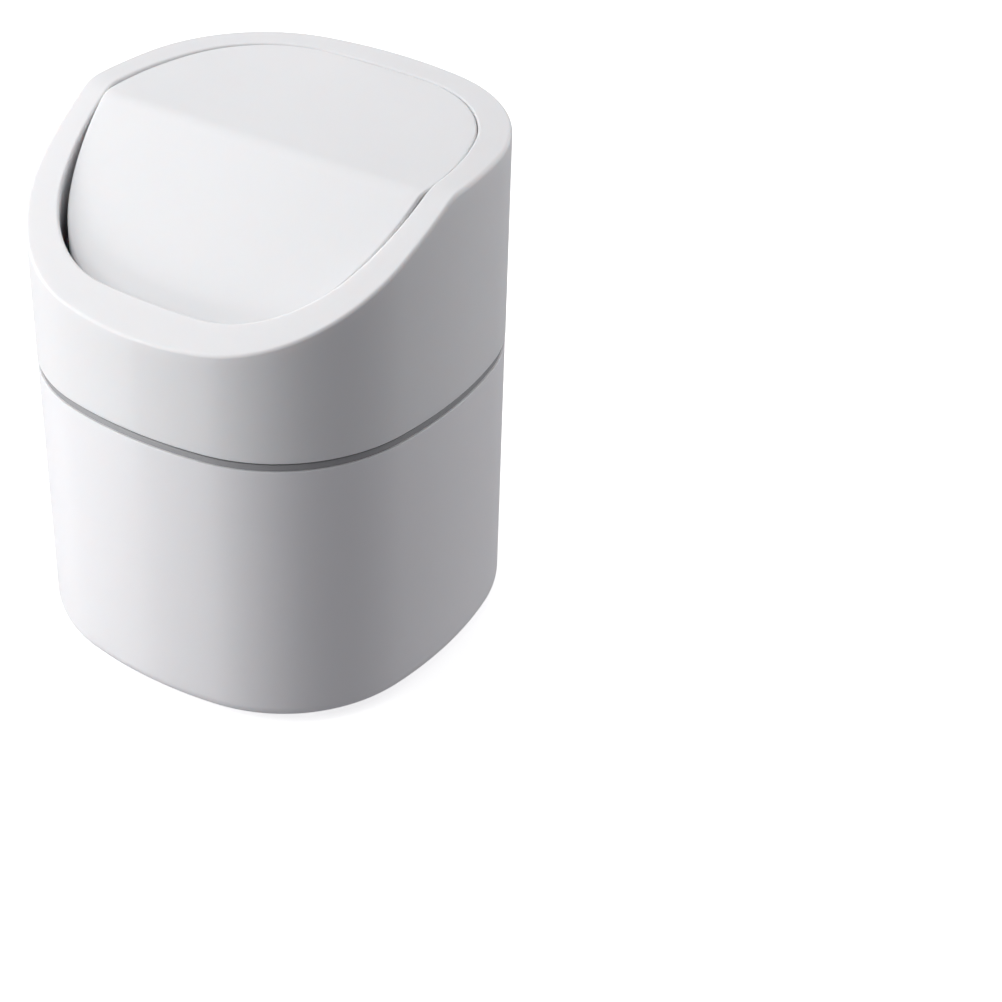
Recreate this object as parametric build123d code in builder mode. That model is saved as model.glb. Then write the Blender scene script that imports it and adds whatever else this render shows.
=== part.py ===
from build123d import *
import os
from math import sin, cos, tan, radians, sqrt, degrees, atan2, hypot

# Countertop trash can with a self-closing swing lid.
# Millimetres, +Z up, front towards -Y.  The origin is on the worktop,
# under the middle of the can.

# ---------------------------------------------------------------- driving sizes
half_width = 67.5          # flat side to centre, outside of the hood
diagonal_half = 72.5       # rounded corner to centre, outside of the hood
corner_radius = 50.6       # large corner arcs, tangent to the bulging sides

foot_stand = 0.8           # how far the non-slip feet hold the tub off the table
tub_top_z = 92.9           # top edge of the tub
hood_bottom_z = 95.7       # bottom edge of the hood, above a shadow gap
crest_z = 165.0            # top of the rim band over the rear half
crease_y = -1.7            # line where the rim and lid bend to the sloped front
front_slope = 29.3         # degrees, the sloped front half
crease_radius = 16.0       # bend radius of the rim band over the crease

tub_inset = 0.1            # the hood overhangs the tub by this much
tub_wall = 2.2
tub_floor = 2.5
tub_base_round = 5.6

hood_wall = 2.4
band_thickness = 3.6
throat_half_x = 58.8       # the throat, narrower front to rear than side to side
throat_half_y = 56.3
throat_corner = 40.45      # its corner arcs, about the same centres as the outside's
throat_wall = 2.0
throat_depth = 16.0        # depth of the throat wall under the rim band
lip_radius = 0.7           # round from the band down into the throat

lid_gap = 0.67             # gap between lid and throat, wider at the front corners
lid_front_k = 12.0         # centres of the lid's rounder front corner arcs
lid_front_corner = 43.08
lid_drop = 0.9             # lid surface below the crest plane at the crease
lid_rear_rise = 0.8        # the lid's rear half rises to come level with the rim band
lid_crease_y = -5.0        # the lid bends a little in front of the rim's bend
lid_crease_radius = 8.0
lid_slope = 35.4           # degrees; the lid's front dips away from the rim
lid_depth = 8.0            # lid edge, top skin to underside
lid_skin = 2.0
lid_flange = 1.6
tray_thickness = 1.6

hinge_y = crease_y
hinge_z = crest_z - lid_drop - 4.6
pin_radius = 1.5
bush_bore_radius = 1.55
bush_radius = 2.5
bush_flange_radius = 3.5

ring_top_z = 100.0         # top of the bag ring's neck, which carries the hood

# ---------------------------------------------------------------- plan outline
def bulging_plan(half_x, half_y, k, corner):
    """Four side arcs and four corner arcs, all tangent; offsets keep the centres."""
    sides = []
    for half in (half_x, half_y):
        m = half - corner
        back = (2 * k**2 - m**2) / (2 * (m - k))       # side centre, past the middle
        sides.append((back, half + back, degrees(atan2(k, k + back))))
    return k, corner, sides[0], sides[1]


corner_k = (diagonal_half - corner_radius) / sqrt(2)
outside = bulging_plan(half_width, half_width, corner_k, corner_radius)
throat = bulging_plan(throat_half_x, throat_half_y, corner_k, throat_corner)
lid_front = bulging_plan(
    throat_half_x - lid_gap, throat_half_y - lid_gap, lid_front_k, lid_front_corner
)


def arc_about(x, y, radius, start, size):
    ThreePointArc(
        *[
            (x + radius * cos(radians(a)), y + radius * sin(radians(a)))
            for a in (start, start + size / 2, start + size)
        ]
    )


def side_arc(plan, turn, inset, start, size):
    back, radius, angle = plan[2 + turn % 2]
    x, y = -back * cos(radians(90 * turn)), -back * sin(radians(90 * turn))
    arc_about(x, y, radius - inset, 90 * turn + start * angle, size * angle)


def corner_arc(plan, turn, inset):
    k, corner = plan[:2]
    before, after = plan[2 + turn % 2][2], plan[3 - turn % 2][2]
    x = k * sqrt(2) * cos(radians(90 * turn + 45))
    y = k * sqrt(2) * sin(radians(90 * turn + 45))
    arc_about(x, y, corner - inset, 90 * turn + before, 90 - before - after)


def plan_face(inset, mode=Mode.ADD, plan=outside):
    """A rounded-square plan of the can, moved inward."""
    with BuildLine() as outline:
        for quarter in range(4):
            side_arc(plan, quarter, inset, -1, 2)
            corner_arc(plan, quarter, inset)
    make_face(outline.edges(), mode=mode)


def throat_face(inset, mode=Mode.ADD):
    plan_face(inset, mode, throat)


def lid_face(inset, mode=Mode.ADD):
    """Lid plan: follows the throat behind the middle, rounder corners in front."""
    with BuildLine() as outline:
        side_arc(throat, 0, lid_gap + inset, 0, 1)
        corner_arc(throat, 0, lid_gap + inset)
        side_arc(throat, 1, lid_gap + inset, -1, 2)
        corner_arc(throat, 1, lid_gap + inset)
        side_arc(throat, 2, lid_gap + inset, -1, 1)
        side_arc(lid_front, 2, inset, 0, 1)
        corner_arc(lid_front, 2, inset)
        side_arc(lid_front, 3, inset, -1, 2)
        corner_arc(lid_front, 3, inset)
        side_arc(lid_front, 0, inset, -1, 1)
    make_face(outline.edges(), mode=mode)


def inset_of(x, y):
    """How far a plan point lies inside the hood's outside."""
    x, y = abs(x), abs(y)
    back, radius, side_angle = outside[2]
    angle = degrees(atan2(y - corner_k, x - corner_k))
    if x > corner_k and y > corner_k and side_angle <= angle <= 90 - side_angle:
        return corner_radius - hypot(x - corner_k, y - corner_k)
    if x >= y:
        return radius - hypot(x + back, y)
    return radius - hypot(x, y + back)


# ---------------------------------------------------------------- bent top profile
# height of the flat rear line, angle of the sloped front line, place and radius of the bend
hood_line = (crest_z, radians(front_slope), crease_y, crease_radius)
lid_line = (crest_z - lid_drop, radians(lid_slope), lid_crease_y, lid_crease_radius)


def bent_points(depth, line):
    """Flat rear line, bend and sloped front line, moved down into the part."""
    crest, slope, crease, bend = line
    radius = bend - depth
    if radius > 0.3:
        ky = crease + bend * tan(slope / 2)
        kz = crest - bend
        p1 = (ky, kz + radius)
        pm = (ky - radius * sin(slope / 2), kz + radius * cos(slope / 2))
        p2 = (ky - radius * sin(slope), kz + radius * cos(slope))
    else:
        p1 = (crease + depth * tan(slope / 2), crest - depth)
        pm, p2 = None, p1
    return p1, pm, p2


def top_z(y, line, rise=0.0):
    p1, pm, p2 = bent_points(0, line)
    if y >= p1[0]:
        return p1[1] + rise * (y - p1[0]) / (throat_half_y - p1[0])
    if y <= p2[0]:
        return p2[1] - (p2[0] - y) * tan(line[1])
    return line[0] - line[3] + sqrt(line[3] ** 2 - (p1[0] - y) ** 2)


def under_bend(depth, line=hood_line, floor_z=-20.0, mode=Mode.ADD, rise=0.0):
    """Everything under the bent top, in the YZ plane."""
    p1, pm, p2 = bent_points(depth, line)
    end = (-95.0, p2[1] - (p2[0] + 95.0) * tan(line[1]))
    start = (95.0, p1[1] + rise * (95.0 - p1[0]) / (throat_half_y - p1[0]))
    with BuildLine() as outline:
        Line(start, p1)
        if pm:
            ThreePointArc(p1, pm, p2)
        Line(p2, end)
        Polyline(end, (-95.0, floor_z), (95.0, floor_z), start)
    make_face(outline.edges(), mode=mode)


def lid_front_frame(x, run, depth):
    """A plane in the lid's sloped front, `run` down the slope from the crease."""
    crest, slope, crease = lid_line[:3]
    y = crease - run * cos(slope) + depth * sin(slope)
    z = crest - run * sin(slope) - depth * cos(slope)
    return Plane(origin=(x, y, z), x_dir=(1, 0, 0), z_dir=(0, -sin(slope), cos(slope)))


def lid_rear_frame(x, y, depth):
    z = lid_line[0] - depth
    return Plane.XY.offset(z).shift_origin((x, y, z))


# ================================================================ tub
with BuildPart() as tub_hollow:
    with BuildSketch(Plane.XY.offset(foot_stand + tub_floor)):
        plan_face(tub_inset + tub_wall)
    extrude(amount=110)
    fillet(tub_hollow.faces().sort_by(Axis.Z)[0].edges(), radius=4.0)

foot_places = {
    "front_left": (-40.0, -40.0),
    "front_right": (40.0, -40.0),
    "rear_left": (-40.0, 40.0),
    "rear_right": (40.0, 40.0),
}
foot_radius = 6.0
foot_recess = 0.8

with BuildPart() as bin_body:
    with BuildSketch(Plane.XY.offset(foot_stand)):
        plan_face(tub_inset)
    extrude(amount=tub_top_z - foot_stand)
    fillet(bin_body.faces().sort_by(Axis.Z)[0].edges(), radius=tub_base_round)
    fillet(bin_body.faces().sort_by(Axis.Z)[-1].edges(), radius=0.25)
    add(tub_hollow.part, mode=Mode.SUBTRACT)
    with BuildSketch(Plane.XY.offset(foot_stand)):
        with Locations(*foot_places.values()):
            Circle(foot_radius + 0.1)
    extrude(amount=foot_recess, mode=Mode.SUBTRACT)

# ================================================================ feet
feet = {}
for place, (fx, fy) in foot_places.items():
    with BuildPart() as foot_pad:
        with BuildSketch(Plane.XY):
            with Locations((fx, fy)):
                Circle(foot_radius)
        extrude(amount=foot_stand + foot_recess)
        fillet(foot_pad.faces().sort_by(Axis.Z)[0].edges(), radius=0.35)
    feet[place] = foot_pad

# ================================================================ bag ring
ring_skirt_inset = tub_inset + tub_wall + 0.4
ring_bore_inset = ring_skirt_inset + 1.6
with BuildPart() as bag_ring:
    # skirt that hangs inside the tub and grips the bag
    with BuildSketch(Plane.XY.offset(82.0)):
        plan_face(ring_skirt_inset)
        plan_face(ring_bore_inset, mode=Mode.SUBTRACT)
    extrude(amount=tub_top_z - 82.0 + 0.5)
    # flange on the tub's edge, seen as the grey line in the shadow gap
    with BuildSketch(Plane.XY.offset(tub_top_z)):
        plan_face(0.7)
        plan_face(ring_bore_inset, mode=Mode.SUBTRACT)
    extrude(amount=1.5)
    # neck that centres and carries the hood
    with BuildSketch(Plane.XY.offset(tub_top_z + 1.0)):
        plan_face(hood_wall + 0.4)
        plan_face(ring_bore_inset, mode=Mode.SUBTRACT)
    extrude(amount=ring_top_z - tub_top_z - 1.0)
    # two finger notches for lifting the ring off the bag
    with BuildSketch(Plane.YZ):
        with Locations((0, ring_top_z)):
            SlotCenterToCenter(14.0, 7.0)
    extrude(amount=90, both=True, mode=Mode.SUBTRACT)

# ================================================================ hood
with BuildPart() as throat_column:
    # the throat wall's column, from its lower edge upward
    with BuildSketch(Plane.XY.offset(90)):
        throat_face(-throat_wall)
    extrude(amount=90)
    with BuildSketch(Plane.YZ):
        under_bend(throat_depth)
    extrude(amount=90, both=True, mode=Mode.SUBTRACT)

with BuildPart() as hood_cavity:
    # hollow under the rim band, between the hood's wall and the throat wall
    with BuildSketch(Plane.XY.offset(90)):
        plan_face(hood_wall)
    extrude(amount=90)
    with BuildSketch(Plane.YZ):
        under_bend(band_thickness)
    extrude(amount=90, both=True, mode=Mode.INTERSECT)
    add(throat_column.part, mode=Mode.SUBTRACT)

with BuildPart() as ledge_ribs:
    # ribs inside the wall that sit on the bag ring's neck
    with BuildSketch(Plane.XY.offset(ring_top_z)):
        plan_face(hood_wall - 0.6)
        plan_face(ring_bore_inset + 0.2, mode=Mode.SUBTRACT)
    extrude(amount=7.0)
    with BuildSketch(Plane.XY.offset(ring_top_z - 1)):
        for turn in (22.5, 67.5, 112.5, 157.5):
            Rectangle(160, 2.0, rotation=turn)
        for turn in (8.0, 172.0, 82.0, 98.0):
            Rectangle(160, 2.0, rotation=turn)
    extrude(amount=12, mode=Mode.INTERSECT)

pivot_x = throat_half_x + 1.0             # shoulder of the bush seats


def pivot_plane(side):
    return Plane(
        origin=(side * pivot_x, hinge_y, hinge_z), x_dir=(0, -1, 0), z_dir=(side, 0, 0)
    )


shelf_top_z = lid_line[0] - lid_depth - 1.2            # lid rest, under the stop pads
# the open lid's front half hangs plumb, its underside against the tabs' faces
hinge_to_top = (hinge_y - lid_crease_y) * sin(lid_line[1]) + (lid_line[0] - hinge_z) * cos(lid_line[1])
stop_tab_y = hinge_y + lid_depth - hinge_to_top + 0.5

with BuildPart() as lid_shelf:
    # ledge across the back of the throat that carries the stop pads
    with BuildSketch(Plane.XY.offset(shelf_top_z - 2.4)):
        throat_face(-1.0)
        with Locations((0, 49.8 + 10)):
            Rectangle(60, 20, mode=Mode.INTERSECT)
    extrude(amount=2.4)

with BuildPart() as stop_tabs:
    # two tabs that hang below the pivots and stop the lid when it stands upright
    with BuildSketch(Plane.XY.offset(hinge_z - 19.0)):
        throat_face(-1.5)
        with Locations((0, stop_tab_y + 2.5)):
            Rectangle(140, 5.0, mode=Mode.INTERSECT)
        Rectangle(107.0, 20.0, mode=Mode.SUBTRACT)
    extrude(amount=13.0)

with BuildPart() as hood_shell:
    with BuildSketch(Plane.XY.offset(hood_bottom_z)):
        plan_face(0)
    extrude(amount=80)
    with BuildSketch(Plane.YZ):
        under_bend(0)
    extrude(amount=90, both=True, mode=Mode.INTERSECT)
    with BuildSketch(Plane.XY.offset(90)):
        throat_face(0)
    extrude(amount=90, mode=Mode.SUBTRACT)
    # the rim band rounds down into the throat all round
    flat_band = hood_shell.faces().filter_by(Axis.Z).sort_by(Axis.Z)[-1]
    rear_throat_edges = flat_band.edges().filter_by(GeomType.CIRCLE).filter_by(
        lambda e: hypot((e @ 0.5).X, (e @ 0.5).Y) < 65
    )
    # the round runs on about the whole throat, because its edges are tangent
    fillet(rear_throat_edges[0], radius=lip_radius)
    outer_edges = hood_shell.edges().filter_by(
        lambda e: abs(inset_of((e @ 0.5).X, (e @ 0.5).Y)) < 0.05
        and abs((e @ 0.5).Z - top_z((e @ 0.5).Y, hood_line)) < 0.05
    )
    fillet(outer_edges, radius=1.4)
    fillet(hood_shell.faces().sort_by(Axis.Z)[0].outer_wire().edges(), radius=0.4)
    add(hood_cavity.part, mode=Mode.SUBTRACT)
    add(ledge_ribs.part)
    add(lid_shelf.part)
    add(stop_tabs.part)
    # pivot bosses on the back of the throat wall
    for side in (-1, 1):
        with BuildSketch(pivot_plane(side)):
            Circle(4.5)
        extrude(amount=4.8)
    # one bore through both bosses, and a seat for each bush's flange
    with BuildSketch(Plane.YZ):
        with Locations((hinge_y, hinge_z)):
            Circle(bush_radius)
    extrude(amount=pivot_x + 5.1, both=True, mode=Mode.SUBTRACT)
    with BuildSketch(Plane.YZ):
        with Locations((hinge_y, hinge_z)):
            Circle(bush_flange_radius)
    extrude(amount=pivot_x, both=True, mode=Mode.SUBTRACT)
hood_shell.part.label = "hood_shell"
print("hood valid", hood_shell.part.is_valid, len(hood_shell.part.solids()), hood_shell.part.volume)

# ================================================================ pivot bushes
bushes = {}
for name, side in (("left", -1), ("right", 1)):
    pivot = pivot_plane(side)
    with BuildPart() as pivot_bush:
        with BuildSketch(pivot.offset(-0.8)):
            Circle(bush_flange_radius)
        extrude(amount=0.8)
        with BuildSketch(pivot):
            Circle(bush_radius)
        extrude(amount=4.8)
        with BuildSketch(pivot.offset(-2.0)):
            Circle(bush_bore_radius)
        extrude(amount=10.0, mode=Mode.SUBTRACT)
    bushes[name] = pivot_bush

# ================================================================ stop pads
pad_places = {"left": -20.0, "right": 20.0}
pads = {}
for name, px in pad_places.items():
    with BuildPart() as stop_pad:
        with BuildSketch(Plane.XY.offset(shelf_top_z)):
            with Locations((px, 52.3)):
                RectangleRounded(8.0, 3.6, 0.8)
        extrude(amount=1.2)
    pads[name] = stop_pad

# ================================================================ swing lid
ear_inner_x = 49.5
ear_width = 10.0
tray_depth = lid_depth - tray_thickness      # tray's upper face, below the lid's top
bar_x, bar_y, bar_z = 60.0, 15.0, 4.0
bar_centre_y = 40.5
screw_places = [
    lid_rear_frame(-37.0, 24.0, lid_depth),
    lid_rear_frame(37.0, 24.0, lid_depth),
    lid_front_frame(-30.0, 31.0, lid_depth),
    lid_front_frame(30.0, 31.0, lid_depth),
]

with BuildPart() as lid_hollow:
    with BuildSketch(Plane.XY.offset(90)):
        lid_face(lid_flange)
    extrude(amount=90)
    with BuildSketch(Plane.YZ):
        under_bend(lid_skin, lid_line)
    extrude(amount=90, both=True, mode=Mode.INTERSECT)
    # the pivot ears stay solid
    with BuildSketch(Plane.XY.offset(80)):
        with Locations((ear_inner_x + 10, hinge_y), (-ear_inner_x - 10, hinge_y)):
            Rectangle(20.0, ear_width)
    extrude(amount=110, mode=Mode.SUBTRACT)

with BuildPart() as weight_pocket:
    # walls round the steel bar
    with BuildSketch(Plane.XY.offset(lid_line[0] - tray_depth)):
        with Locations((0, bar_centre_y)):
            Rectangle(bar_x + 3.2, bar_y + 3.2)
            Rectangle(bar_x + 0.6, bar_y + 0.6, mode=Mode.SUBTRACT)
    extrude(amount=tray_depth - lid_skin + 0.2)

with BuildPart() as lid_panel:
    with BuildSketch(Plane.XY.offset(90)):
        lid_face(0)
    extrude(amount=90)
    with BuildSketch(Plane.YZ):
        under_bend(0, lid_line, rise=lid_rear_rise)
    extrude(amount=90, both=True, mode=Mode.INTERSECT)
    lid_edges = lid_panel.edges().filter_by(
        lambda e: abs((e @ 0.5).Z - top_z((e @ 0.5).Y, lid_line, lid_rear_rise)) < 0.05
        and hypot((e @ 0.5).X, (e @ 0.5).Y) > 50
    )
    fillet(lid_edges, radius=0.8)
    print("lid edges", len(lid_edges), lid_panel.part.is_valid)
    with BuildSketch(Plane.YZ):
        under_bend(lid_depth, lid_line)
    extrude(amount=90, both=True, mode=Mode.SUBTRACT)
    add(lid_hollow.part, mode=Mode.SUBTRACT)
    add(weight_pocket.part)
    for place in screw_places:
        with BuildSketch(place.offset(tray_thickness)):
            Circle(3.0)
        extrude(amount=tray_depth - lid_skin + 0.2)
        with BuildSketch(place.offset(tray_thickness)):
            Circle(1.1)
        extrude(amount=3.6, mode=Mode.SUBTRACT)
    for side in (-1, 1):
        with BuildSketch(Plane(origin=(side * 45, hinge_y, hinge_z), z_dir=(side, 0, 0))):
            Circle(pin_radius)
        extrude(amount=20, mode=Mode.SUBTRACT)
lid_panel.part.label = "lid_panel"
print("lid valid", lid_panel.part.is_valid, len(lid_panel.part.solids()), lid_panel.part.volume)

with BuildPart() as lid_under_tray:
    with BuildSketch(Plane.XY.offset(90)):
        lid_face(lid_flange + 0.15)
    extrude(amount=90)
    with BuildSketch(Plane.YZ):
        under_bend(tray_depth, lid_line)
    extrude(amount=90, both=True, mode=Mode.INTERSECT)
    with BuildSketch(Plane.YZ):
        under_bend(lid_depth, lid_line)
    extrude(amount=90, both=True, mode=Mode.SUBTRACT)
    with BuildSketch(Plane.XY.offset(80)):
        with Locations((ear_inner_x + 10, hinge_y), (-ear_inner_x - 10, hinge_y)):
            Rectangle(20.3, ear_width + 0.3)
    extrude(amount=110, mode=Mode.SUBTRACT)
    for place in screw_places:
        with BuildSketch(place.offset(-1)):
            Circle(1.25)
        extrude(amount=4, mode=Mode.SUBTRACT)
        with BuildSketch(place) as sink_mouth:
            Circle(2.15)
        extrude(amount=1.0, taper=45, mode=Mode.SUBTRACT)
lid_under_tray.part.label = "lid_under_tray"
print("tray valid", lid_under_tray.part.is_valid, len(lid_under_tray.part.solids()), lid_under_tray.part.volume)

with BuildPart() as tray_screws:
    for place in screw_places:
        with BuildSketch(place.offset(0.05)):
            Circle(2.05)
        extrude(amount=0.95, taper=45)
        with BuildSketch(place.offset(0.1)):
            Circle(1.1)
        extrude(amount=4.6)
        # cross recess
        with BuildSketch(place.offset(0.05)):
            Rectangle(2.2, 0.5)
            Rectangle(0.5, 2.2)
        extrude(amount=0.7, mode=Mode.SUBTRACT)
tray_screws.part.label = "tray_screws"
print("screws", len(tray_screws.part.solids()), tray_screws.part.is_valid)

with BuildPart() as counterweight:
    with BuildSketch(Plane.XY.offset(lid_line[0] - tray_depth)):
        with Locations((0, bar_centre_y)):
            Rectangle(bar_x, bar_y)
    extrude(amount=bar_z)
    chamfer(counterweight.edges().filter_by(Axis.Z), length=1.0)
counterweight.part.label = "counterweight"

pins = {}
for name, side in (("left", -1), ("right", 1)):
    with BuildPart() as pivot_pin:
        with BuildSketch(Plane(origin=(side * 51.0, hinge_y, hinge_z), z_dir=(side, 0, 0))):
            Circle(pin_radius)
        extrude(amount=12.0)
        chamfer(pivot_pin.faces().sort_by(Axis.X)[0 if side < 0 else -1].edges(), length=0.4)
    pins[name] = pivot_pin

# ================================================================ write the pieces
os.makedirs("parts", exist_ok=True)
bin_body.part.label = "bin_body"
export_step(bin_body.part, "parts/bin_body.step")
for place, foot_pad in feet.items():
    foot_pad.part.label = "foot_pad_" + place
    export_step(foot_pad.part, "parts/foot_pad_" + place + ".step")
bag_ring.part.label = "bag_ring"
export_step(bag_ring.part, "parts/bag_ring.step")
export_step(hood_shell.part, "parts/hood_shell.step")
for name, pivot_bush in bushes.items():
    pivot_bush.part.label = "pivot_bush_" + name
    export_step(pivot_bush.part, "parts/pivot_bush_" + name + ".step")
for name, stop_pad in pads.items():
    stop_pad.part.label = "lid_stop_pad_" + name
    export_step(stop_pad.part, "parts/lid_stop_pad_" + name + ".step")
export_step(lid_panel.part, "parts/lid_panel.step")
export_step(lid_under_tray.part, "parts/lid_under_tray.step")
export_step(tray_screws.part, "parts/tray_screws.step")
export_step(counterweight.part, "parts/counterweight.step")
for name, pivot_pin in pins.items():
    pivot_pin.part.label = "pivot_pin_" + name
    export_step(pivot_pin.part, "parts/pivot_pin_" + name + ".step")
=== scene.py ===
import math

import bmesh
import bpy
import numpy as np
from mathutils import Matrix, Vector


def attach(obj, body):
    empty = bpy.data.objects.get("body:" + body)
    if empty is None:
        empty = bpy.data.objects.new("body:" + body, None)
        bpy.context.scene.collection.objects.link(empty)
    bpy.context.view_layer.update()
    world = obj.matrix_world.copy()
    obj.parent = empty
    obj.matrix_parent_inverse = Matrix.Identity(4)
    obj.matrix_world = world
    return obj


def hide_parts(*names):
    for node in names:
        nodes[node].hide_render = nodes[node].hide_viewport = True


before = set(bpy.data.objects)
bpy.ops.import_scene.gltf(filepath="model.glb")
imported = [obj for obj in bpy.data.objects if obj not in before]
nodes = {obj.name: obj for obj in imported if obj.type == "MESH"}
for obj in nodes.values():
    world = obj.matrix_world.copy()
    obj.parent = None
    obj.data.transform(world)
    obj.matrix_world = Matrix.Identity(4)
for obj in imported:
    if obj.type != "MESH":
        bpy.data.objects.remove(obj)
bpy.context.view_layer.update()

# ------------------------------------------------------------------ sizes, mm
HALF = 67.5
DIAGONAL = 72.5
CORNER = 50.6
HOOD_BOTTOM = 95.7
CREST = 165.0
CREASE_Y = -1.7
SLOPE = math.radians(29.3)
BEND = 16.0
RIM_ROUND = 1.4
TUB_TOP = 92.9
TUB_BASE = 0.8
TUB_INSET = 0.1
TUB_WALL = 2.2
BASE_ROUND = 5.6
HOOD_WALL = 2.4
RING_FLANGE = 0.7
THROAT_X = 58.8
THROAT_Y = 56.3
THROAT_CORNER = 40.45
THROAT_WALL = 2.0
THROAT_DEPTH = 16.0
CAVITY_DEPTH = 3.6
LIP_ROUND = 0.7
LID_GAP = 0.67
LID_K = 12.0
LID_CORNER = 43.08
LID_TOP = CREST - 0.9
LID_SLOPE = math.radians(35.4)
LID_CREASE_Y = -5.0
LID_BEND = 8.0
LID_DEPTH = 8.0
LID_SKIN = 2.0
LID_FLANGE = 1.6
LID_ROUND = 0.8
LID_REAR_RISE = 0.8
HINGE_Y = CREASE_Y
HINGE_Z = LID_TOP - 4.6
PIVOT_X = THROAT_X + 1.0
SHELF_TOP = LID_TOP - LID_DEPTH - 1.2
HINGE_TO_TOP = (HINGE_Y - LID_CREASE_Y) * math.sin(LID_SLOPE) + (LID_TOP - HINGE_Z) * math.cos(LID_SLOPE)
TAB_Y = HINGE_Y + LID_DEPTH - HINGE_TO_TOP + 0.5

N_PHI = 720


# ------------------------------------------------------------------ the outlines
def bulging_plan(half_x, half_y, k, corner):
    """Four side arcs and four corner arcs, all tangent: centres, radii and angles."""
    sides = []
    for half in (half_x, half_y):
        m = half - corner
        behind = (2 * k**2 - m**2) / (2 * (m - k))
        sides.append((behind, half + behind, math.atan2(k, k + behind)))
    return k, corner, sides[0], sides[1]


K = (DIAGONAL - CORNER) / math.sqrt(2)
OUTSIDE = bulging_plan(HALF, HALF, K, CORNER)
THROAT = bulging_plan(THROAT_X, THROAT_Y, K, THROAT_CORNER)
LID_FRONT = bulging_plan(THROAT_X - LID_GAP, THROAT_Y - LID_GAP, LID_K, LID_CORNER)


def outline(shape, inset, phi):
    """The point of an outline, moved inward, whose outward normal points along phi."""
    k, corner, (ax, rx, angx), (ay, ry, angy) = shape
    c, s = np.cos(phi), np.sin(phi)
    a = np.arctan2(np.abs(s), np.abs(c))
    on_x, on_y = a <= angx, a >= math.pi / 2 - angy
    cx = np.where(on_x, -ax, np.where(on_y, 0.0, k))
    cy = np.where(on_x, 0.0, np.where(on_y, -ay, k))
    r = np.where(on_x, rx, np.where(on_y, ry, corner)) - inset
    return (
        np.sign(c) * (cx + r * np.abs(c)),
        np.sign(s) * (cy + r * np.abs(s)),
    )


def bent_z(y, depth, crest, slope, crease, bend):
    """Height of a bent top, moved down into the part by depth."""
    y = np.asarray(y, float)
    radius = bend - depth
    if radius <= 0.3:
        flat = np.full_like(y, crest - depth)
        return np.minimum(flat, crest - depth / math.cos(slope) - (crease - y) * math.tan(slope))
    ky = crease + bend * math.tan(slope / 2)
    kz = crest - bend
    p2y, p2z = ky - radius * math.sin(slope), kz + radius * math.cos(slope)
    arc = kz + np.sqrt(np.maximum(radius**2 - np.clip(ky - y, 0, radius) ** 2, 0))
    return np.where(
        y >= ky, kz + radius, np.where(y <= p2y, p2z - (p2y - y) * math.tan(slope), arc)
    )


def top_z(y, depth=0.0):
    return bent_z(y, depth, CREST, SLOPE, CREASE_Y, BEND)


def lid_z(y, depth=0.0):
    return bent_z(y, depth, LID_TOP, LID_SLOPE, LID_CREASE_Y, LID_BEND)


def lid_top_z(y, depth=0.0):
    """The lid's top face; its rear half rises a little, to come level with the rim at the back."""
    start = LID_CREASE_Y + LID_BEND * math.tan(LID_SLOPE / 2)
    rise = np.clip((np.asarray(y, float) - start) / (THROAT_Y - start), 0, None)
    return lid_z(y, depth) + LID_REAR_RISE * rise


def arc_points(cx, cy, rx, ry, a0, a1, n):
    """Points on an ellipse arc in profile space, angles in degrees."""
    return [
        (cx + rx * math.cos(math.radians(a0 + (a1 - a0) * i / (n - 1))),
         cy + ry * math.sin(math.radians(a0 + (a1 - a0) * i / (n - 1))))
        for i in range(n)
    ]


# ------------------------------------------------------------------ mesh helpers
def new_object(name, verts, faces, smooth_angle=35.0):
    mesh = bpy.data.meshes.new(name)
    mesh.from_pydata((np.asarray(verts, float) * 0.001).tolist(), [], faces)
    mesh.validate()
    mesh.update()
    obj = bpy.data.objects.new(name, mesh)
    bpy.context.scene.collection.objects.link(obj)
    finish_mesh(obj, smooth_angle)
    return obj


def finish_mesh(obj, smooth_angle=35.0):
    mesh = obj.data
    bm = bmesh.new()
    bm.from_mesh(mesh)
    bmesh.ops.recalc_face_normals(bm, faces=bm.faces)
    bm.to_mesh(mesh)
    bm.free()
    mesh.shade_smooth()
    mesh.set_sharp_from_angle(angle=math.radians(smooth_angle))


def sweep(rings, closed=True, cap_start=None, cap_end=None):
    """Verts and faces of rings (lists of (x, y, z) arrays); closed joins the last ring to the first."""
    n = len(rings[0][0])
    verts = np.concatenate([np.stack([x, y, z], 1) for x, y, z in rings])
    faces = []
    count = len(rings)
    for i in range(count if closed else count - 1):
        a, b = i * n, ((i + 1) % count) * n
        for j in range(n):
            k = (j + 1) % n
            faces.append((a + j, a + k, b + k, b + j))
    extra = []
    for ring, centre in ((0, cap_start), (count - 1, cap_end)):
        if centre is not None:
            c = len(verts) + len(extra)
            extra.append(centre)
            for j in range(n):
                faces.append((ring * n + j, ring * n + (j + 1) % n, c))
    if extra:
        verts = np.concatenate([verts, np.array(extra, float)])
    return verts, faces


PHI = (np.arange(N_PHI) + 0.5) * 2 * math.pi / N_PHI


def wall_ring(inset, z, shape=OUTSIDE):
    x, y = outline(shape, inset, PHI)
    return x, y, np.full(N_PHI, float(z))


def hood_ring(inset, depth, shape=OUTSIDE):
    x, y = outline(shape, inset, PHI)
    return x, y, top_z(y, depth)


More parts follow.
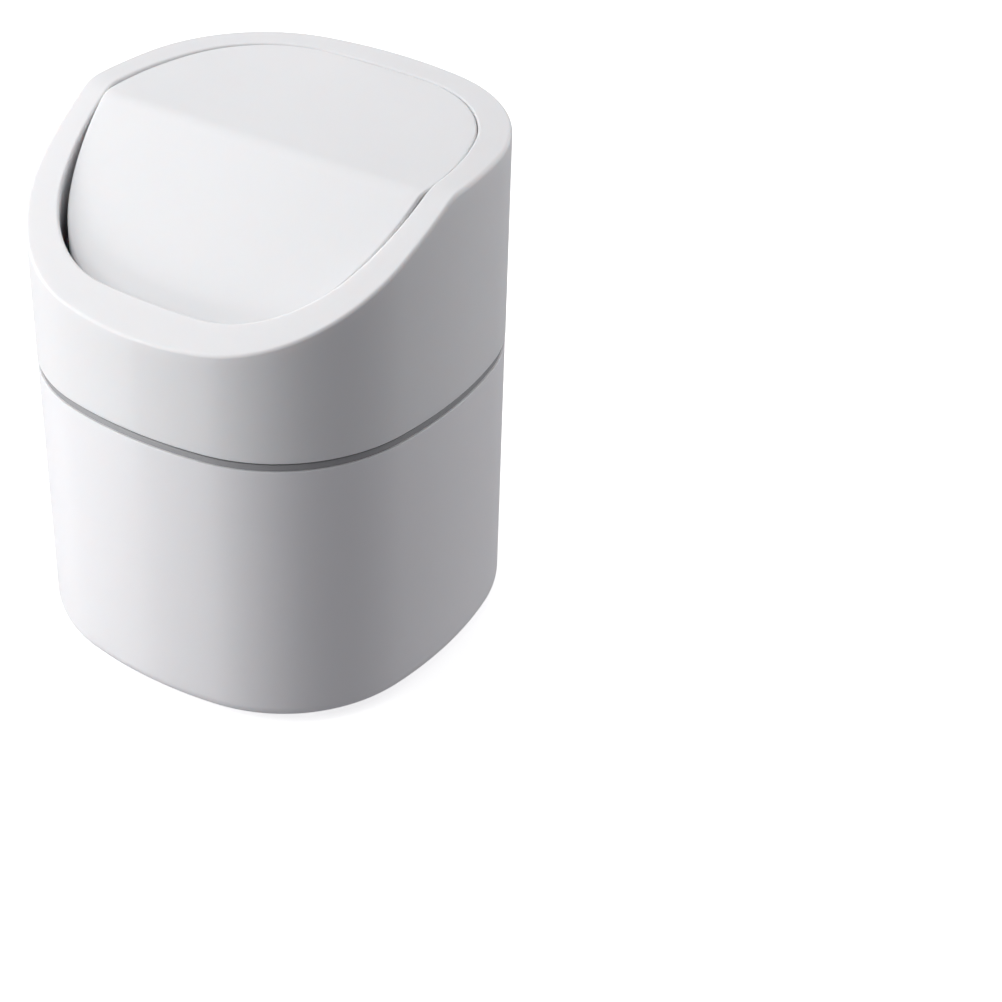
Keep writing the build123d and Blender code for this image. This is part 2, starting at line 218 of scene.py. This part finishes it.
def rounded_edge(shape, radius, steps, inward):
    """Rings of a rolled edge between a wall and the bent top, from the wall to the top."""
    sign = 1.0 if inward else -1.0
    x0, y0 = outline(shape, 0.0, PHI)
    x1, y1 = outline(shape, sign * 0.05, PHI)
    # rise of the top away from the wall, along the wall's normal
    rise = np.arctan((top_z(y1) - top_z(y0)) / 0.05)
    rings = []
    for k in range(steps):
        a = math.pi - (math.pi / 2 - rise) * k / (steps - 1)
        u = radius * (1 + np.cos(a))
        v = radius * (np.tan(rise) - 1 / np.cos(rise) + np.sin(a))
        x, y = outline(shape, sign * u, PHI)
        rings.append((x, y, top_z(y) - (u * np.tan(rise) - v)))
    return rings


def band_rings(first, last, steps):
    """Rings on the bent top between two others."""
    rings = []
    for k in range(1, steps):
        t = k / steps
        x, y = (1 - t) * first[0] + t * last[0], (1 - t) * first[1] + t * last[1]
        rings.append((x, y, top_z(y)))
    return rings


def prism(points, z0, z1):
    """A closed upright prism over a polygon."""
    n = len(points)
    verts = [(x, y, z0) for x, y in points] + [(x, y, z1) for x, y in points]
    faces = [tuple(range(n - 1, -1, -1)), tuple(range(n, 2 * n))]
    faces += [(i, (i + 1) % n, n + (i + 1) % n, n + i) for i in range(n)]
    return verts, faces


def cylinder_x(x0, x1, radius, y, z, n=48):
    verts, faces = [], []
    for x in (x0, x1):
        verts += [
            (x, y + radius * math.cos(2 * math.pi * i / n), z + radius * math.sin(2 * math.pi * i / n))
            for i in range(n)
        ]
    faces = [tuple(range(n)), tuple(range(2 * n - 1, n - 1, -1))]
    faces += [(i, n + i, n + (i + 1) % n, (i + 1) % n) for i in range(n)]
    return verts, faces


def cylinder_z(x, y, z0, z1, radius, n=48):
    return prism(
        [(x + radius * math.cos(2 * math.pi * i / n), y + radius * math.sin(2 * math.pi * i / n)) for i in range(n)],
        z0, z1,
    )


def boolean(obj, tools, operation):
    """Union or difference with a list of (verts, faces), applied."""
    for verts, faces in tools:
        tool = new_object("tool", verts, faces)
        mod = obj.modifiers.new("b", "BOOLEAN")
        mod.operation = operation
        mod.solver = "EXACT"
        mod.object = tool
        bpy.context.view_layer.update()
        deps = bpy.context.evaluated_depsgraph_get()
        mesh = bpy.data.meshes.new_from_object(obj.evaluated_get(deps))
        obj.modifiers.clear()
        old = obj.data
        obj.data = mesh
        bpy.data.meshes.remove(old)
        bpy.data.objects.remove(tool)


def joined(parts):
    """Several disjoint (verts, faces) as one."""
    verts, faces = [], []
    for v, f in parts:
        base = len(verts)
        verts += [tuple(p) for p in v]
        faces += [tuple(i + base for i in face) for face in f]
    return verts, faces


# ------------------------------------------------------------------ hood
def hood_mesh():
    rings = []
    # outer wall, bottom edge softly broken, up to the rim
    rings += [wall_ring(i, HOOD_BOTTOM + z) for i, z in arc_points(0.4, 0.4, 0.4, 0.4, 270, 180, 6)]
    for z in (2.0, 8.0, 16.0, 24.0):
        rings.append(wall_ring(0.0, HOOD_BOTTOM + z))
    rings += [hood_ring(0.0, 6.0), hood_ring(0.0, 3.6)]
    # outer round of the rim, flat band, round into the throat
    outer = rounded_edge(OUTSIDE, RIM_ROUND, 13, True)
    lip = rounded_edge(THROAT, LIP_ROUND, 11, False)[::-1]
    rings += outer + band_rings(outer[-1], lip[0], 12) + lip
    rings.append(hood_ring(0.0, 2.2, THROAT))
    for d in (4.5, 7.0, 10.0, 13.0, THROAT_DEPTH - 0.7):
        rings.append(hood_ring(0.0, d, THROAT))
    rings += [hood_ring(-0.2, THROAT_DEPTH - 0.2, THROAT), hood_ring(-0.7, THROAT_DEPTH, THROAT)]
    w = -THROAT_WALL
    rings += [hood_ring(w + 0.7, THROAT_DEPTH, THROAT), hood_ring(w + 0.2, THROAT_DEPTH - 0.2, THROAT)]
    for d in (THROAT_DEPTH - 0.7, 12.0, 9.0, 6.0, CAVITY_DEPTH + 0.8):
        rings.append(hood_ring(w, d, THROAT))
    rings += [hood_ring(w - 0.2, CAVITY_DEPTH + 0.2, THROAT), hood_ring(w - 0.8, CAVITY_DEPTH, THROAT)]
    rings += [hood_ring(HOOD_WALL + 0.8, CAVITY_DEPTH), hood_ring(HOOD_WALL + 0.2, CAVITY_DEPTH + 0.2)]
    rings += [hood_ring(HOOD_WALL, CAVITY_DEPTH + 0.8), hood_ring(HOOD_WALL, 8.0)]
    for z in (22.0, 16.0, 8.0, 1.0, 0.3):
        rings.append(wall_ring(HOOD_WALL, HOOD_BOTTOM + z))
    rings.append(wall_ring(HOOD_WALL - 0.3, HOOD_BOTTOM))
    return sweep(rings)


hood = new_object("hood_shell_skin", *hood_mesh())
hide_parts("hood_shell")
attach(hood, "hood")

ribs = []
for turn in (22.5, 67.5, 112.5, 157.5, 202.5, 247.5, 292.5, 337.5, 8, 172, 188, 352, 82, 98, 262, 278):
    a = math.radians(turn)
    fine_phi = np.linspace(0, 2 * math.pi, 3601)
    radii = []
    for inset in (HOOD_WALL - 0.8, 4.5):
        x, y = outline(OUTSIDE, inset, fine_phi)
        polar = np.unwrap(np.arctan2(y, x))
        radii.append(float(np.interp(a if a >= polar[0] else a + 2 * math.pi, polar, np.hypot(x, y))))
    outer, inner = radii
    c, s = math.cos(a), math.sin(a)
    pts = [(r * c - w * s, r * s + w * c) for r, w in ((inner, -1.0), (outer, -1.0), (outer, 1.0), (inner, 1.0))]
    ribs.append(prism(pts, 100.0, 107.0))

phi = np.linspace(math.radians(40), math.radians(140), 81)
ox, oy = outline(THROAT, -1.0, phi)
keep = np.abs(ox) < 30.0
edge_y = float(np.interp(30.0, ox[::-1], oy[::-1]))
shelf_pts = [(30.0, 49.8), (30.0, edge_y)]
shelf_pts += [(float(x), float(y)) for x, y in zip(ox[keep], oy[keep])]
shelf_pts += [(-30.0, edge_y), (-30.0, 49.8)]
shelf = prism(shelf_pts, SHELF_TOP - 2.4, SHELF_TOP)

tabs = []
for side in (-1, 1):
    pts = [(53.5, TAB_Y), (59.8, TAB_Y), (59.7, TAB_Y + 5.0), (53.5, TAB_Y + 5.0)]
    tabs.append(prism([(side * x, y) for x, y in pts], HINGE_Z - 19.0, HINGE_Z - 6.0))
bosses = [cylinder_x(side * (PIVOT_X - 0.3), side * (PIVOT_X + 4.8), 4.5, HINGE_Y, HINGE_Z) for side in (-1, 1)]
boolean(hood, [joined(ribs), joined([shelf]), joined(tabs), joined(bosses)], "UNION")
seats = [cylinder_x(side * (PIVOT_X - 3.0), side * PIVOT_X, 3.52, HINGE_Y, HINGE_Z, 64) for side in (-1, 1)]
bores = [cylinder_x(side * (PIVOT_X - 0.5), side * (PIVOT_X + 5.1), 2.5, HINGE_Y, HINGE_Z, 64) for side in (-1, 1)]
boolean(hood, [joined(seats), joined(bores)], "DIFFERENCE")
finish_mesh(hood)


# ------------------------------------------------------------------ lid
# the gap is close at the sides and the rear, and opens towards the front corners
REAR_GAP = 0.34 - 0.14 * np.clip(1.9 * np.sin(PHI) - 0.55, 0, 1) ** 1.5
FROM_SIDE = np.minimum(np.abs(PHI - math.pi), 2 * math.pi - PHI)
SIDE_FIT = 0.33 * np.exp(-((FROM_SIDE / 0.42) ** 2))


def lid_xy(inset):
    """The lid's outline: follows the throat behind the middle, rounder in front."""
    rx, ry = outline(THROAT, REAR_GAP + inset, PHI)
    fx, fy = outline(LID_FRONT, inset - SIDE_FIT, PHI)
    rear = PHI < math.pi
    return np.where(rear, rx, fx), np.where(rear, ry, fy)


def lid_ring(inset, depth, height=lid_z):
    x, y = lid_xy(inset)
    return x, y, height(y, depth)


def lid_disc(inset, depth, n, height=lid_z):
    """Rings from the outline to the middle, for the broad faces."""
    x, y = lid_xy(inset)
    rings = []
    for k in range(1, n):
        t = 1 - k / n
        rings.append((x * t, y * t, height(y * t, depth)))
    return rings


def lid_mesh():
    rings = []
    # top face from the middle outward
    rings += lid_disc(1.9, 0.0, 80, lid_top_z)[::-1]
    r = LID_ROUND
    rings.append(lid_ring(1.9, 0.0, lid_top_z))
    rings += [
        lid_ring(r - r * math.sin(a), r - r * math.cos(a), lid_top_z) for a in np.radians(np.linspace(0, 90, 12))
    ]
    for d in (3.5, 5.5, LID_DEPTH - 0.35):
        rings.append(lid_ring(0.0, d))
    rings += [lid_ring(0.1, LID_DEPTH - 0.1), lid_ring(0.35, LID_DEPTH)]
    rings += [lid_ring(LID_FLANGE - 0.2, LID_DEPTH), lid_ring(LID_FLANGE, LID_DEPTH - 0.2)]
    rings += [lid_ring(LID_FLANGE, 5.0), lid_ring(LID_FLANGE, LID_SKIN + 0.6)]
    rings += [lid_ring(LID_FLANGE + 0.2, LID_SKIN + 0.15), lid_ring(LID_FLANGE + 0.6, LID_SKIN)]
    rings += lid_disc(LID_FLANGE + 0.6, LID_SKIN, 24)
    top = (0.0, 0.0, float(lid_top_z(0.0, 0.0)))
    low = (0.0, 0.0, float(lid_z(0.0, LID_SKIN)))
    return sweep(rings, closed=False, cap_start=top, cap_end=low)


lid = new_object("lid_panel_skin", *lid_mesh())
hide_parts("lid_panel")
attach(lid, "lid")
ears = []
bend_y = LID_CREASE_Y + LID_DEPTH * math.tan(LID_SLOPE / 2)
ear_y = (HINGE_Y - 5.0, bend_y, HINGE_Y + 5.0)
ear_side = [(y, float(lid_z(y, LID_DEPTH - 0.02))) for y in ear_y]
ear_side += [(y, float(lid_z(y, 1.0))) for y in ear_y[::-1]]
n = len(ear_side)
for side in (-1, 1):
    verts = [(side * x, y, z) for x in (49.5, 57.2) for y, z in ear_side]
    faces = [tuple(range(n)), tuple(range(2 * n - 1, n - 1, -1))]
    faces += [(k, n + k, n + (k + 1) % n, (k + 1) % n) for k in range(n)]
    ears.append((verts, faces))
boolean(lid, [joined(ears)], "UNION")
boolean(lid, [joined([cylinder_x(side * 45.0, side * 62.0, 1.5, HINGE_Y, HINGE_Z, 40) for side in (-1, 1)])], "DIFFERENCE")
finish_mesh(lid)


# ------------------------------------------------------------------ tub
def tub_mesh():
    r = BASE_ROUND
    floor = TUB_BASE + 2.5
    rings = []
    # underside: a shallow gate recess with its broken-off nub in the middle
    under = [(0.6, 1.05), (1.1, 1.05), (1.3, 0.95), (1.4, 1.3), (4.6, 1.3), (5.0, 1.25), (5.25, TUB_BASE + 0.02), (5.6, TUB_BASE)]
    rings += [(rad * np.cos(PHI), rad * np.sin(PHI), np.full(N_PHI, z)) for rad, z in under]
    x, y = outline(OUTSIDE, TUB_INSET + r, PHI)
    rings += [(x * t, y * t, np.full(N_PHI, TUB_BASE)) for t in (0.2, 0.4, 0.6, 0.8)]
    rings += [wall_ring(TUB_INSET + i, z) for i, z in arc_points(r, TUB_BASE + r, r, r, 270, 180, 17)]
    for z in (12.0, 25.0, 40.0, 55.0, 70.0, 85.0, TUB_TOP - 0.9):
        rings.append(wall_ring(TUB_INSET, z))
    rings += [wall_ring(TUB_INSET + i, z) for i, z in arc_points(0.25, TUB_TOP - 0.25, 0.25, 0.25, 180, 90, 6)]
    rings += [wall_ring(TUB_INSET + i, z) for i, z in arc_points(TUB_WALL - 0.4, TUB_TOP - 0.4, 0.4, 0.4, 90, 0, 5)]
    for z in (85.0, 60.0, 35.0, 12.0):
        rings.append(wall_ring(TUB_INSET + TUB_WALL, z))
    rings += [wall_ring(TUB_INSET + i, z) for i, z in arc_points(TUB_WALL + 4.0, floor + 4.0, 4.0, 4.0, 180, 270, 13)]
    x, y = outline(OUTSIDE, TUB_INSET + TUB_WALL + 4.0, PHI)
    rings += [(x * t, y * t, np.full(N_PHI, floor)) for t in (0.8, 0.55, 0.3, 0.1)]
    return sweep(rings, closed=False, cap_start=(0, 0, 1.05), cap_end=(0, 0, floor))


tub = new_object("bin_body_skin", *tub_mesh())
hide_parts("bin_body")
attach(tub, "tub")
recesses = [
    cylinder_z(x, y, TUB_BASE - 1.0, TUB_BASE + 0.8, 6.1) for x in (-40.0, 40.0) for y in (-40.0, 40.0)
]
boolean(tub, [joined(recesses)], "DIFFERENCE")
finish_mesh(tub)


# ------------------------------------------------------------------ bag ring
def ring_mesh():
    """Skirt inside the tub, flange in the shadow gap, neck inside the hood."""
    skirt, bore, neck, flange = 2.7, 4.3, 2.8, RING_FLANGE
    prof = [(skirt + 0.3, 82.0), (skirt, 82.3), (skirt, 88.0), (skirt, TUB_TOP)]
    prof += [(flange + 0.15, TUB_TOP), (flange, TUB_TOP + 0.15)]
    z = TUB_TOP + 2.1
    prof += [(flange, z - 0.35), (flange + 0.1, z - 0.1), (flange + 0.35, z)]
    prof += [(neck, z), (neck, 97.5), (neck, 99.6), (neck + 0.4, 100.0)]
    prof += [(bore - 0.3, 100.0), (bore, 99.7), (bore, 95.0), (bore, 88.0), (bore, 82.3), (bore - 0.3, 82.0)]
    return sweep([wall_ring(i, z) for i, z in prof])


ring = new_object("bag_ring_skin", *ring_mesh())
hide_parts("bag_ring")
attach(ring, "ring")
notch = [
    (side * 3.5 * math.sin(a) + side * 7.0, 100.0 - 3.5 * math.cos(a))
    for side in (-1, 1)
    for a in np.linspace(0, math.pi, 17)[:: side]
]
verts = [(x, y, z) for x in (-90.0, 90.0) for y, z in notch]
n = len(notch)
faces = [tuple(range(n)), tuple(range(2 * n - 1, n - 1, -1))]
faces += [(i, n + i, n + (i + 1) % n, (i + 1) % n) for i in range(n)]
boolean(ring, [(verts, faces)], "DIFFERENCE")
finish_mesh(ring)


# ------------------------------------------------------------------ materials
def node(tree, kind, **values):
    n = tree.nodes.new(kind)
    for key, value in values.items():
        setattr(n, key, value)
    return n


def plastic(name, color, roughness, grain=0.02, mottling=0.03, specular=0.45, soak=0.0):
    """Moulded plastic: a fine spark-eroded grain, faint flow mottling and uneven gloss."""
    mat = bpy.data.materials.new(name)
    mat.use_nodes = True
    t = mat.node_tree
    t.nodes.clear()
    out = node(t, "ShaderNodeOutputMaterial")
    bsdf = node(t, "ShaderNodeBsdfPrincipled")
    t.links.new(bsdf.outputs["BSDF"], out.inputs["Surface"])
    coord = node(t, "ShaderNodeTexCoord")
    flow = node(t, "ShaderNodeTexNoise")
    flow.inputs["Scale"].default_value = 22.0
    flow.inputs["Detail"].default_value = 3.0
    t.links.new(coord.outputs["Object"], flow.inputs["Vector"])
    ramp = node(t, "ShaderNodeMix", data_type="RGBA")
    lo = [c * (1 - mottling) for c in color]
    ramp.inputs["A"].default_value = (*lo, 1)
    ramp.inputs["B"].default_value = (*color, 1)
    t.links.new(flow.outputs["Fac"], ramp.inputs["Factor"])
    t.links.new(ramp.outputs["Result"], bsdf.inputs["Base Color"])
    fine = node(t, "ShaderNodeTexNoise")
    fine.inputs["Scale"].default_value = 2600.0
    fine.inputs["Detail"].default_value = 2.0
    t.links.new(coord.outputs["Object"], fine.inputs["Vector"])
    bump = node(t, "ShaderNodeBump")
    bump.inputs["Strength"].default_value = 0.25
    bump.inputs["Distance"].default_value = grain * 0.001
    t.links.new(fine.outputs["Fac"], bump.inputs["Height"])
    t.links.new(bump.outputs["Normal"], bsdf.inputs["Normal"])
    gloss = node(t, "ShaderNodeMapRange")
    gloss.inputs["To Min"].default_value = roughness - 0.05
    gloss.inputs["To Max"].default_value = roughness + 0.05
    t.links.new(flow.outputs["Fac"], gloss.inputs["Value"])
    t.links.new(gloss.outputs["Result"], bsdf.inputs["Roughness"])
    bsdf.inputs["Specular IOR Level"].default_value = specular
    # the white plastic lets a little warm light through where it is thin
    bsdf.inputs["Subsurface Weight"].default_value = soak
    bsdf.inputs["Subsurface Radius"].default_value = (1.0, 0.8, 0.72)
    bsdf.inputs["Subsurface Scale"].default_value = 0.0025
    return mat


hood_mat = plastic("hood_plastic", (0.80, 0.80, 0.81), 0.5, soak=0.5)
lid_mat = plastic("lid_plastic", (0.815, 0.815, 0.825), 0.5, soak=0.5)
# the tub's white is a touch lighter than the hood's: painted light, standing in for the brighter light that falls on
# the lower body
tub_mat = plastic("tub_plastic", (0.82, 0.815, 0.83), 0.5, soak=0.3)
# the ring's dark grey is partly its own colour and partly painted shade: it darkens the seam between hood and tub,
# where the groove's shade falls
ring_grey_seam_shade_mat = plastic("ring_plastic", (0.32, 0.32, 0.33), 0.55)
nylon_mat = plastic("bush_nylon", (0.66, 0.64, 0.58), 0.42)
rubber_mat = plastic("soft_rubber", (0.28, 0.28, 0.29), 0.75, grain=0.05, specular=0.3)


def steel(name):
    mat = plastic(name, (0.56, 0.56, 0.58), 0.34, grain=0.01, mottling=0.12)
    mat.node_tree.nodes["Principled BSDF"].inputs["Metallic"].default_value = 1.0
    return mat


steel_mat = steel("zinc_steel")


def paint(obj, mat):
    obj.data.materials.clear()
    obj.data.materials.append(mat)
    for p in obj.data.polygons:
        p.material_index = 0


paint(hood, hood_mat)
paint(lid, lid_mat)
paint(tub, tub_mat)
paint(ring, ring_grey_seam_shade_mat)
for n, m in {
    "lid_under_tray": lid_mat, "pivot_bush_left": nylon_mat, "pivot_bush_right": nylon_mat,
    "pivot_pin_left": steel_mat, "pivot_pin_right": steel_mat, "counterweight": steel_mat, "tray_screws": steel_mat,
    "lid_stop_pad_left": rubber_mat, "lid_stop_pad_right": rubber_mat,
    "foot_pad_front_left": rubber_mat, "foot_pad_front_right": rubber_mat,
    "foot_pad_rear_left": rubber_mat, "foot_pad_rear_right": rubber_mat,
}.items():
    slots = nodes[n].material_slots
    for s in slots:
        s.material = m

# ------------------------------------------------------------------ floor, light, camera
floor_mesh = bpy.data.meshes.new("floor")
floor_mesh.from_pydata([(-40, -40, 0), (40, -40, 0), (40, 40, 0), (-40, 40, 0)], [], [(0, 1, 2, 3)])
floor = bpy.data.objects.new("floor", floor_mesh)
bpy.context.scene.collection.objects.link(floor)
fm = bpy.data.materials.new("floor")
fm.use_nodes = True
fb = fm.node_tree.nodes["Principled BSDF"]
fb.inputs["Base Color"].default_value = (0.9, 0.9, 0.9, 1)
fb.inputs["Roughness"].default_value = 0.9
fb.inputs["Specular IOR Level"].default_value = 0.1
fb.inputs["Emission Color"].default_value = (1, 1, 1, 1)
fb.inputs["Emission Strength"].default_value = 0.6
floor.data.materials.append(fm)
# the table's own light on the can comes from the world's lower half instead
floor.visible_diffuse = False
floor.visible_glossy = False

scene = bpy.context.scene
scene.view_settings.view_transform = "Standard"
scene.view_settings.look = "None"
world = bpy.data.worlds.new("world")
scene.world = world
world.use_nodes = True
sky = world.node_tree.nodes["Background"]
sky.inputs["Color"].default_value = (0.985, 0.975, 1.03, 1)
# soft light from all round, stronger from below, as off a white table
coord = node(world.node_tree, "ShaderNodeTexCoord")
height = node(world.node_tree, "ShaderNodeSeparateXYZ")
world.node_tree.links.new(coord.outputs["Generated"], height.inputs["Vector"])
blend = node(world.node_tree, "ShaderNodeMapRange")
for key, value in {"From Min": -0.15, "From Max": 0.15, "To Min": 0.312, "To Max": 0.189}.items():
    blend.inputs[key].default_value = value
world.node_tree.links.new(height.outputs["Z"], blend.inputs["Value"])
world.node_tree.links.new(blend.outputs["Result"], sky.inputs["Strength"])


def area(name, direction_az, elevation, distance, size_x, size_y, power, color=(1, 1, 1), target=(0, 0, 0.08)):
    """A soft box; azimuth 0 stands in front (-Y), 90 to the right (+X)."""
    a, e = math.radians(direction_az), math.radians(elevation)
    back = Vector((math.sin(a) * math.cos(e), -math.cos(a) * math.cos(e), math.sin(e)))
    data = bpy.data.lights.new(name, "AREA")
    data.shape = "RECTANGLE"
    data.size, data.size_y = size_x, size_y
    data.energy = power
    data.color = color
    obj = bpy.data.objects.new(name, data)
    obj.location = Vector(target) + back * distance
    obj.rotation_mode = "QUATERNION"
    obj.rotation_quaternion = (-back).to_track_quat("-Z", "Y")
    scene.collection.objects.link(obj)
    obj.visible_camera = False
    return obj


area("low_front", -30, -4, 0.45, 0.2, 0.2, 0.95)
area("front_low", -30, 15, 1.4, 0.9, 0.9, 1.7)
area("left_low", -60, 15, 1.4, 0.9, 0.9, 4.7)
area("front_high", -30, 40, 1.4, 0.9, 0.9, 2.6)
area("left_high", -60, 40, 1.4, 0.9, 0.9, 4.2)
area("left_top", -60, 65, 1.4, 0.9, 0.9, 2.7)
area("near_top", -120, 70, 0.6, 0.45, 0.45, 0.87)
area("rear_top", 180, 65, 1.4, 0.9, 0.9, 1.4)
area("rear_right", 150, 40, 1.4, 0.9, 0.9, 2.25)
area("right_low", 150, 15, 1.4, 0.9, 0.9, 4.7)
area("right", 120, 15, 1.4, 0.9, 0.9, 1.65)

AZ, EL, ROLL = math.radians(34.95), math.radians(31.93), math.radians(-0.06)
F_PX, DIST, TX, TY, CX, CY, AIM_Z = 2300.912, 711.505, -33.197, 8.774, 380.0, 360.0, 96.0
back = Vector((math.sin(AZ) * math.cos(EL), -math.cos(AZ) * math.cos(EL), math.sin(EL)))
right = Vector((math.cos(AZ), math.sin(AZ), 0))
up = back.cross(right)
cam_data = bpy.data.cameras.new("camera")
cam = bpy.data.objects.new("camera", cam_data)
scene.collection.objects.link(cam)
scene.camera = cam
cam_data.sensor_width = 36.0
cam_data.lens = F_PX / 1002 * 36.0
cam_data.shift_x = (501 - CX) / 1002
cam_data.shift_y = (CY - 501) / 1002
cam_data.clip_start, cam_data.clip_end = 0.01, 20
r2 = right * math.cos(ROLL) - up * math.sin(ROLL)
u2 = right * math.sin(ROLL) + up * math.cos(ROLL)
pos = (Vector((0, 0, AIM_Z)) - TX * right - TY * up + DIST * back) * 0.001
m = Matrix((
    (r2.x, u2.x, back.x, pos.x),
    (r2.y, u2.y, back.y, pos.y),
    (r2.z, u2.z, back.z, pos.z),
    (0, 0, 0, 1),
))
cam.matrix_world = m
